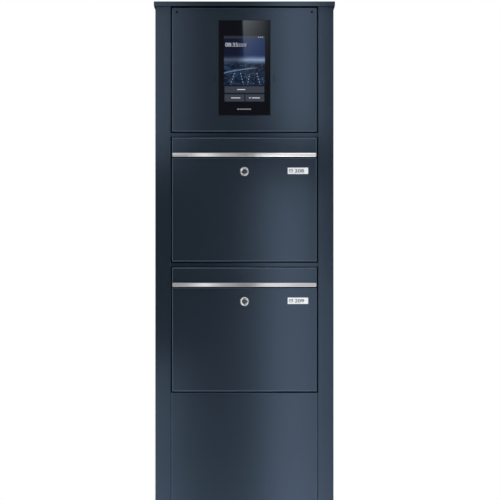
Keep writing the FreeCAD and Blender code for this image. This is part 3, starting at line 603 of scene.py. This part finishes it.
def plate(half_width, half_height, corner, centre, front, back, edge=0.0):
    """A flat plate facing -Y: rounded outline at the back, then the same outline drawn in by
    edge * (1 - cos a) while it comes forward by edge * sin a, for a polished front edge."""
    turns = np.linspace(0.0, math.pi / 2, 5) if edge else np.zeros(1)
    inset = edge * (1.0 - np.cos(turns))
    forward = edge * np.sin(turns)
    outer = rounded_box(half_width, half_height, corner)
    scale = 1.0 - inset[:, None] / np.array((half_width, half_height))
    rings = np.concatenate((outer[None], outer[None] * scale[:, None, :]))
    depths = np.concatenate(((back,), front + edge - forward))
    x, z = rings[..., 0] + centre[0], rings[..., 1] + centre[1]
    return np.stack((x, np.broadcast_to(depths[:, None], x.shape), z), axis=-1)


def lettering(name, words, width, height, corner, lift, weight):
    """Digits as a thin mesh on a face towards -Y: each outline is scaled to the width and
    height asked for, and stands from just inside the face to a lift in front of it. The weight
    thickens its strokes."""
    curve = bpy.data.curves.new(name, "FONT")
    curve.body = words
    curve.offset = weight
    curve.extrude = 0.5
    holder = bpy.data.objects.new(name, curve)
    mesh = bpy.data.meshes.new_from_object(holder)
    bpy.data.objects.remove(holder)
    flat = np.empty(len(mesh.vertices) * 3)
    mesh.vertices.foreach_get("co", flat)
    flat = flat.reshape(-1, 3)
    low, high = flat.min(axis=0), flat.max(axis=0)
    share = (flat - low) / (high - low)
    placed = np.stack((corner[0] + share[:, 0] * width,
                       corner[1] + PRINT_SINK - share[:, 2] * (lift + PRINT_SINK),
                       corner[2] + share[:, 1] * height), axis=-1)
    mesh.vertices.foreach_set("co", placed.ravel())
    mesh.update()
    mesh.materials.clear()
    return mesh


def middle(node):
    """The centre of a CAD node's box."""
    low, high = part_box(node)
    return (np.array(low) + np.array(high)) / 2


def looks():
    """The finishes' settings."""
    return bpy.context.scene.mailbox_finishes


# ------------------------------------------------------------------ operators

class MAILBOX_OT_dress_cad(bpy.types.Operator):
    """Gives every carried-over CAD piece the finish of its material slot"""
    bl_idname = "mailbox.dress_cad"
    bl_label = "Finish the Steelwork"

    def execute(self, context):
        look = looks()
        finishes = {
            "anthracite_paint": powder_coat(look),
            "stainless": brushed_stainless(look),
            "zinc_steel": galvanised(look),
            "dark_steel": blackened_steel(look),
            "lock_chrome": satin_chrome(look),
            "black_glass": moulded("display_back", look.black, 0.25),
            "screen": moulded("display_case", (0.10, 0.10, 0.11), 0.40),
            "black_plastic": moulded("black_moulding", (0.012, 0.012, 0.013), 0.45),
            "rubber": soft_rubber(look),
            "circuit_green": circuit_board(look),
            "terminal_plastic": moulded("terminal_moulding", (0.05, 0.22, 0.09), 0.40),
            "white_card": printed_card(look),
            "clear_plastic": clear_cover(),
        }
        # The frames behind the fronts get a darker coat with less sheen: painted shade seen
        # through the gaps
        shaded_inner = powder_coat(look, "inner_coat", INNER_PAINTED_SHADE)
        # Near-black cloth: partly the speaker's cloth, partly painted shade inside the sound
        # holes
        hole_shade_cloth = moulded("speaker_cloth", shade(look.black, 0.4), 0.85)
        for part in frame["record"]["subparts"]:
            piece = frame["nodes"][part["node"]]
            if not piece.material_slots:
                piece.data.materials.append(None)
            for place in piece.material_slots:
                place.material = finishes[part["material_slot"]]
                if part["node"] in SHADED_INNER_NODES:
                    place.material = shaded_inner
                elif part["node"] in CLOTH_NODES:
                    place.material = hole_shade_cloth
                elif part["node"] in BEND_HIGHLIGHT_NODES:
                    low, high = (np.array(corner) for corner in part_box(part["node"]))
                    place.material = powder_coat(look, f"{part['node']}_coat",
                                                 bends=((low + high) / 2, (high - low) / 2))
        return {"FINISHED"}


class MAILBOX_OT_make_display(bpy.types.Operator):
    """Makes the touch display's glass with its picture, clock, buttons and marks"""
    bl_idname = "mailbox.make_display"
    bl_label = "Touch Display"

    def execute(self, context):
        look = looks()
        display = context.scene.mailbox_display
        low, high = (np.array(corner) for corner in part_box("station_glass"))
        centre = (low + high) / 2
        screen = middle("display_module")
        half = (high - low) / 2
        front = low[1]
        glass = plate(half[0], half[2], display.corner, (centre[0], centre[2]),
                      front, high[1], display.polish)
        build("display_glass", [glass], display_picture(look, display, screen),
              "service_panel", replaced=("station_glass",))

        width, height = display.screen_width, display.screen_height

        def spot(across, up):
            """Place on the picture from 0 to 1 across and up."""
            return screen[0] + (across - 0.5) * width, screen[2] + (up - 0.5) * height

        def tile(across, up, wide, tall, corner, lift=0.04 * MM):
            """A thin tile on the glass, its size given in parts of the picture's width."""
            return plate(wide * width / 2, tall * width / 2, corner * width,
                         spot(across, up), front - lift, front + 0.02 * MM)

        buttons = [tile(*button, 0.010) for button in BUTTONS]
        plates = lit_mark("button_tone", (0.026, 0.032, 0.049))
        build("display_buttons", buttons, plates, "service_panel")

        bars = [tile(across, up, wide, 0.020, 0.009, MARK_LIFT)
                for across, up, wide in BUTTON_WORDS]
        bars += [tile(first + pitch * step, up, wide, tall, corner, MARK_LIFT)
                 for first, up, pitch, count, wide, tall, corner in BAR_ROWS
                 for step in range(count)]
        white = lit_mark("clock_white", (0.60, 0.63, 0.70))
        build("display_marks", bars, white, "service_panel")
        foot = (low[2] + FOOT_MARK_RISE - screen[2]) / height + 0.5
        dot_place, size, dot_corner = FOOT_DOT
        first, pitch, count, wide, tall, corner = FOOT_BARS
        signs = [tile(dot_place, foot, size, size, dot_corner, PRINT_LIFT)]
        signs += [tile(first + pitch * step, foot, wide, tall, corner, PRINT_LIFT)
                  for step in range(count)]
        # The silver print glows on its own: painted light standing in for what the print would
        # reflect
        glowing_silver = lit_mark("silver_print", (0.30, 0.31, 0.32))
        build("display_foot_marks", signs, glowing_silver, "service_panel")

        left, base = spot(*CLOCK_CORNER)
        digits = lettering("clock_digits", CLOCK_TIME, display.clock_width,
                           display.digit_height, (left, front, base), 0.06 * MM, -0.004)
        place_piece("clock_digits", digits, white, "service_panel")
        return {"FINISHED"}


class MAILBOX_OT_make_locks(bpy.types.Operator):
    """Makes the cam locks' threaded housings with their crowned faces"""
    bl_idname = "mailbox.make_locks"
    bl_label = "Lock Housings"

    def execute(self, context):
        hardware = context.scene.mailbox_hardware
        chrome = bpy.data.materials["satin_chrome"]
        for box in BOXES:
            low, high = (np.array(corner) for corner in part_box(f"box{box}_lock_housing"))
            centre = (low + high) / 2
            door_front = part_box(f"box{box}_door")[0][1]
            shell = self.housing(centre, low[1], door_front, high[1], hardware)
            build(f"lock_housing_{box}", [shell], chrome, f"door_{box}",
                  closed=True, replaced=(f"box{box}_lock_housing",))
        return {"FINISHED"}

    @staticmethod
    def housing(centre, face, seat, tail, hardware):
        """A closed profile turned about Y. The head is a ring with a shallow groove and rounded
        edges. Behind the seat the radius is body - depth * tri(y / pitch - turn), a thread that
        runs round once in a pitch, and is held to two flats at flat / |cos turn|."""
        bore, head, body, flat = 7.06 * MM, 11.0 * MM, 9.25 * MM, 8.2 * MM
        rim = 1.1 * MM
        arc = np.linspace(0.0, math.pi / 2, 6)
        outer_r = head - rim * (1 - np.sin(arc))
        outer_y = face + rim * (1 - np.cos(arc))
        face_r = np.array((bore, bore + 0.35 * MM, 8.35 * MM, 8.55 * MM, 8.95 * MM, 9.15 * MM))
        face_y = face + np.array((0.5, 0.12, 0.0, 0.22, 0.22, 0.0)) * MM
        thread_y = np.linspace(seat + 0.3 * MM, tail - 0.2 * MM, THREAD_STEPS)
        radius = np.concatenate((face_r, outer_r, (head, body), np.full(THREAD_STEPS, body),
                                 (body, bore)))
        depth = np.concatenate((face_y, outer_y, (seat, seat), thread_y, (tail, tail)))
        cut = np.zeros(len(radius))
        start = len(face_r) + len(outer_r) + 2
        cut[start:start + THREAD_STEPS] = 1.0
        turns = np.arange(TURN_STEPS) / TURN_STEPS
        phase = (depth[:, None] / hardware.thread_pitch - turns) % 1.0
        groove = hardware.thread_depth * np.abs(2 * phase - 1) * cut[:, None]
        angles = turns * 2 * math.pi
        flats = flat / np.maximum(np.abs(np.cos(angles)), 1e-6)
        profile = radius[:, None] - groove
        held = np.where(cut[:, None] > 0, np.minimum(profile, flats), profile)
        x = centre[0] + held * np.cos(angles)
        z = centre[2] + held * np.sin(angles)
        return np.stack((x, np.broadcast_to(depth[:, None], x.shape), z), axis=-1)


class MAILBOX_OT_make_bars(bpy.types.Operator):
    """Makes the stainless grip bars with rounded edges and eased ends"""
    bl_idname = "mailbox.make_bars"
    bl_label = "Grip Bars"

    def execute(self, context):
        edge = context.scene.mailbox_hardware.bar_edge
        steel = bpy.data.materials["brushed_stainless"]
        for box in BOXES:
            low, high = (np.array(corner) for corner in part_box(f"box{box}_handle_bar"))
            centre, half = (low + high) / 2, (high - low) / 2
            turn = np.linspace(0.0, math.pi / 2, 5)
            ease = edge * (1 - np.sin(turn))
            left = low[0] + edge * (1 - np.cos(turn))
            straight = np.linspace(low[0] + 2 * edge, high[0] - 2 * edge, 25)
            stations = np.concatenate((left, straight, 2 * centre[0] - left[::-1]))
            inset = np.concatenate((ease, np.zeros(25), ease[::-1]))
            ring = rounded_box(half[1], half[2], edge)
            rings = ring[None] * (1 - inset[:, None, None] / half[[1, 2]])
            y, z = rings[..., 0] + centre[1], rings[..., 1] + centre[2]
            bar = np.stack((np.broadcast_to(stations[:, None], y.shape), y, z), axis=-1)
            build(f"grip_bar_{box}", [bar], steel, f"flap_{box}",
                  replaced=(f"box{box}_handle_bar",))
        return {"FINISHED"}


class MAILBOX_OT_make_nameplates(bpy.types.Operator):
    """Prints a plain envelope sign and a box number on each nameplate card"""
    bl_idname = "mailbox.make_nameplates"
    bl_label = "Nameplate Print"

    def execute(self, context):
        look = looks()
        ink = printed_ink(look)
        for box in BOXES:
            low, high = (np.array(corner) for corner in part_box(f"box{box}_nameplate_card"))
            front = low[1]
            middle_z = (low[2] + high[2]) / 2
            sign = (low[0] + 8.5 * MM, middle_z)

            def tile(offset, half_width, half_height):
                """A thin printed tile beside the sign's centre."""
                return plate(half_width, half_height, min(half_width, half_height) * 0.45,
                             (sign[0] + offset[0], sign[1] + offset[1]),
                             front - PRINT_LIFT, front + PRINT_SINK)

            frame_tiles = [tile((0, 3.3 * MM), 4.8 * MM, 0.60 * MM),
                           tile((0, -3.3 * MM), 4.8 * MM, 0.60 * MM),
                           tile((-4.2 * MM, 0), 0.60 * MM, 3.7 * MM),
                           tile((4.2 * MM, 0), 0.60 * MM, 3.7 * MM)]
            flap_line = self.folded_line(sign, front)
            build(f"envelope_sign_{box}", frame_tiles + flap_line, ink, f"door_{box}")
            number = str(FIRST_BOX_NUMBER + box - 1)
            digits = lettering(f"box_number_{box}", number, 24.0 * MM, 9.0 * MM,
                               (low[0] + 17.5 * MM, front, middle_z - 4.5 * MM), 0.04 * MM, 0.022)
            place_piece(f"box_number_{box}", digits, ink, f"door_{box}")
        return {"FINISHED"}

    @staticmethod
    def folded_line(sign, front):
        """The envelope's flap: two slanted bars that meet below the middle, each the four
        corners of a bar turned to its slope."""
        bars = []
        for side in SIDES:
            start = np.array((side * 4.0, 3.0)) * MM
            end = np.array((side * -0.15, -0.2)) * MM
            along = (end - start) / np.linalg.norm(end - start)
            across = np.array((-along[1], along[0])) * 0.58 * MM
            corners = np.array((start - across, end - across, end + across, start + across))
            x, z = corners[:, 0] + sign[0], corners[:, 1] + sign[1]
            rings = [np.stack((x, np.full(4, depth), z), axis=-1)
                     for depth in (front + PRINT_SINK, front - PRINT_LIFT)]
            bars.append(np.array(rings))
        return bars


class MAILBOX_OT_make_stage(bpy.types.Operator):
    """Makes the pale floor, the soft lights and the camera"""
    bl_idname = "mailbox.make_stage"
    bl_label = "Stage"

    def execute(self, context):
        stage = context.scene.mailbox_stage
        self.floor(stage)
        self.world(context.scene)
        for softbox in SOFTBOXES:
            self.softbox(*softbox)
        for box in BOXES:
            level = self.mirrored(stage, middle(f"box{box}_handle_bar")[2])
            for name, left, right, radiance in BAR_CARDS:
                card = self.softbox(f"{name}_card_{box}", left, right, level - CARD_HEIGHT / 2,
                                    level + CARD_HEIGHT / 2, radiance)
                self.only_on(card, f"grip_bar_{box}")
            half, radiance = LOCK_CARD
            level = self.mirrored(stage, middle(f"box{box}_lock_plug")[2])
            card = self.softbox(f"lock_card_{box}", -half, half, level - half, level + half,
                                radiance)
            self.only_on(card, f"lock_housing_{box}")
        sheen = self.softbox("sheen_card", *SHEEN_CARD, SHEEN_RADIANCE, -1.6)
        self.fade(sheen.data)
        self.only_on(sheen, "display_glass", "display_buttons")
        data = bpy.data.cameras.new("camera")
        data.lens = stage.lens
        data.sensor_width = 36.0
        data.clip_start, data.clip_end = 0.1, 100.0
        camera = bpy.data.objects.new("camera", data)
        camera.location = (stage.camera_side, COLUMN_FRONT - stage.camera_distance,
                           stage.camera_height)
        camera.rotation_euler = (math.pi / 2, 0.0, 0.0)
        context.scene.collection.objects.link(camera)
        context.scene.camera = camera
        context.scene.view_settings.view_transform = "Standard"
        return {"FINISHED"}

    @staticmethod
    def floor(stage):
        """A disc of rings whose radius grows with the square of the step, fading at its rim."""
        count, drop = 8, 0.4 * MM
        reach = (np.arange(1, count + 1) / count) ** 2 * stage.floor_radius
        rings = reach[:, None, None] * circle(1.0, TURN_STEPS)[None]
        points = np.concatenate((rings, np.full((count, TURN_STEPS, 1), -drop)), axis=-1)
        mesh = bpy.data.meshes.new("floor")
        index = np.arange(count * TURN_STEPS).reshape(count, TURN_STEPS)
        near, far = index[:-1], index[1:]
        quads = np.stack((near, far, np.roll(far, -1, 1), np.roll(near, -1, 1)), axis=-1)
        mesh.from_pydata(points.reshape(-1, 3).tolist(), [],
                         quads.reshape(-1, 4).tolist() + [index[0].tolist()])
        finish = Finish("pale_floor")
        x, y, _ = finish.axes()
        distance = (x * x + y * y).math("SQRT")
        grain = finish.noise(60.0, 4.0)
        tone = finish.blend(grain, (0.84, 0.84, 0.84), (0.88, 0.88, 0.88))
        mesh.materials.append(finish.set(
            base_color=tone, roughness=0.7,
            alpha=distance.fade(stage.floor_radius * 0.97, stage.floor_radius * 0.35)))
        floor = bpy.data.objects.new("floor", mesh)
        bpy.context.scene.collection.objects.link(floor)

    @staticmethod
    def mirrored(stage, height):
        """The height where the camera sees a card mirrored in a front at this height."""
        reach = -SOFTBOX_DEPTH + CAD_LOW[1]
        return height + (height - stage.camera_height) * reach / stage.camera_distance

    @staticmethod
    def softbox(name, left, right, low, high, radiance, tilt=0.0):
        """A soft upright light that faces the fronts and isn't seen itself. An area light of
        power P and area A has a radiance of P / 4A."""
        data = bpy.data.lights.new(name, "AREA")
        data.shape = "RECTANGLE"
        data.size, data.size_y = right - left, high - low
        data.energy = radiance * 4 * data.size * data.size_y
        light = bpy.data.objects.new(name, data)
        light.location = ((left + right) / 2, SOFTBOX_DEPTH, (low + high) / 2)
        light.rotation_euler = (math.pi / 2, math.radians(tilt), 0.0)
        light.visible_camera = False
        bpy.context.scene.collection.objects.link(light)
        return light

    @staticmethod
    def only_on(light, *names):
        """Lets a card shine on the named pieces only."""
        group = bpy.data.collections.new(f"{light.name}_lights")
        for name in names:
            group.objects.link(bpy.data.objects[name])
        light.light_linking.receiver_collection = group

    @staticmethod
    def fade(light):
        """Dims a card towards its right by 1 - u and towards its foot by v cubed."""
        light.use_nodes = True
        tree = light.node_tree
        place = tree.nodes.new("ShaderNodeNewGeometry")
        split = tree.nodes.new("ShaderNodeSeparateXYZ")
        tree.links.new(place.outputs["Parametric"], split.inputs[0])
        product = None
        for operation, inputs in (("SUBTRACT", (1.0, split.outputs[0])),
                                  *(("MULTIPLY", (None, split.outputs[1])),) * 3):
            math_node = tree.nodes.new("ShaderNodeMath")
            math_node.operation = operation
            for socket, value in zip(math_node.inputs, inputs):
                if value is None:
                    tree.links.new(product, socket)
                elif isinstance(value, float):
                    socket.default_value = value
                else:
                    tree.links.new(value, socket)
            product = math_node.outputs[0]
        tree.links.new(product, tree.nodes["Emission"].inputs["Strength"])
        light.color = (0.82, 0.94, 1.0)

    @staticmethod
    def world(scene):
        """White where the camera looks; for light, a bright studio that is dark in front."""
        world = bpy.data.worlds.new("studio")
        world.use_nodes = True
        tree = world.node_tree
        tree.nodes.clear()
        way = tree.nodes.new("ShaderNodeTexCoord")
        split = tree.nodes.new("ShaderNodeSeparateXYZ")
        ramps = []
        for limits in STUDIO_RAMPS:
            ramp = tree.nodes.new("ShaderNodeMapRange")
            ramp.interpolation_type = "SMOOTHSTEP"
            for socket, value in zip(list(ramp.inputs)[1:5], limits):
                socket.default_value = value
            ramps.append(ramp)
        strength = tree.nodes.new("ShaderNodeMath")
        strength.operation = "MULTIPLY"
        studio = tree.nodes.new("ShaderNodeBackground")
        white = tree.nodes.new("ShaderNodeBackground")
        path = tree.nodes.new("ShaderNodeLightPath")
        mix = tree.nodes.new("ShaderNodeMixShader")
        output = tree.nodes.new("ShaderNodeOutputWorld")
        studio.inputs["Color"].default_value = (0.93, 0.97, 1.0, 1.0)
        white.inputs["Color"].default_value = (1.0, 1.0, 1.0, 1.0)
        tree.links.new(way.outputs["Generated"], split.inputs[0])
        for axis, ramp, socket in zip("YZ", ramps, strength.inputs):
            tree.links.new(split.outputs[axis], ramp.inputs[0])
            tree.links.new(ramp.outputs[0], socket)
        tree.links.new(strength.outputs[0], studio.inputs["Strength"])
        tree.links.new(path.outputs["Is Camera Ray"], mix.inputs[0])
        tree.links.new(studio.outputs[0], mix.inputs[1])
        tree.links.new(white.outputs[0], mix.inputs[2])
        tree.links.new(mix.outputs[0], output.inputs["Surface"])
        scene.world = world


STEPS = (
    MAILBOX_OT_dress_cad,
    MAILBOX_OT_make_display,
    MAILBOX_OT_make_locks,
    MAILBOX_OT_make_bars,
    MAILBOX_OT_make_nameplates,
    MAILBOX_OT_make_stage,
)
SETTINGS = {
    "mailbox_finishes": MailboxFinishes,
    "mailbox_display": MailboxDisplay,
    "mailbox_hardware": MailboxHardware,
    "mailbox_stage": MailboxStage,
}


class MAILBOX_PT_panel(bpy.types.Panel):
    """Settings and steps of the mailbox column"""
    bl_label = "Mailbox Column"
    bl_idname = "MAILBOX_PT_panel"
    bl_space_type = "VIEW_3D"
    bl_region_type = "UI"
    bl_category = "Mailbox"

    def draw(self, context):
        for name, settings in SETTINGS.items():
            column = self.layout.box().column()
            for field in settings.__annotations__:
                column.prop(getattr(context.scene, name), field)
        for step in STEPS:
            self.layout.operator(step.bl_idname)


def register():
    """Adds the classes and the scene's settings."""
    for settings in SETTINGS.values():
        bpy.utils.register_class(settings)
    for name, settings in SETTINGS.items():
        setattr(bpy.types.Scene, name, bpy.props.PointerProperty(type=settings))
    for step in (*STEPS, MAILBOX_PT_panel):
        bpy.utils.register_class(step)


def unregister():
    """Takes the classes and the settings away again."""
    for step in (MAILBOX_PT_panel, *reversed(STEPS)):
        bpy.utils.unregister_class(step)
    for name, settings in reversed(SETTINGS.items()):
        delattr(bpy.types.Scene, name)
        bpy.utils.unregister_class(settings)


def main():
    """Dresses the column."""
    register()
    for step in STEPS:
        area, name = step.bl_idname.split(".")
        getattr(getattr(bpy.ops, area), name)()


if __name__ == "__main__":
    main()
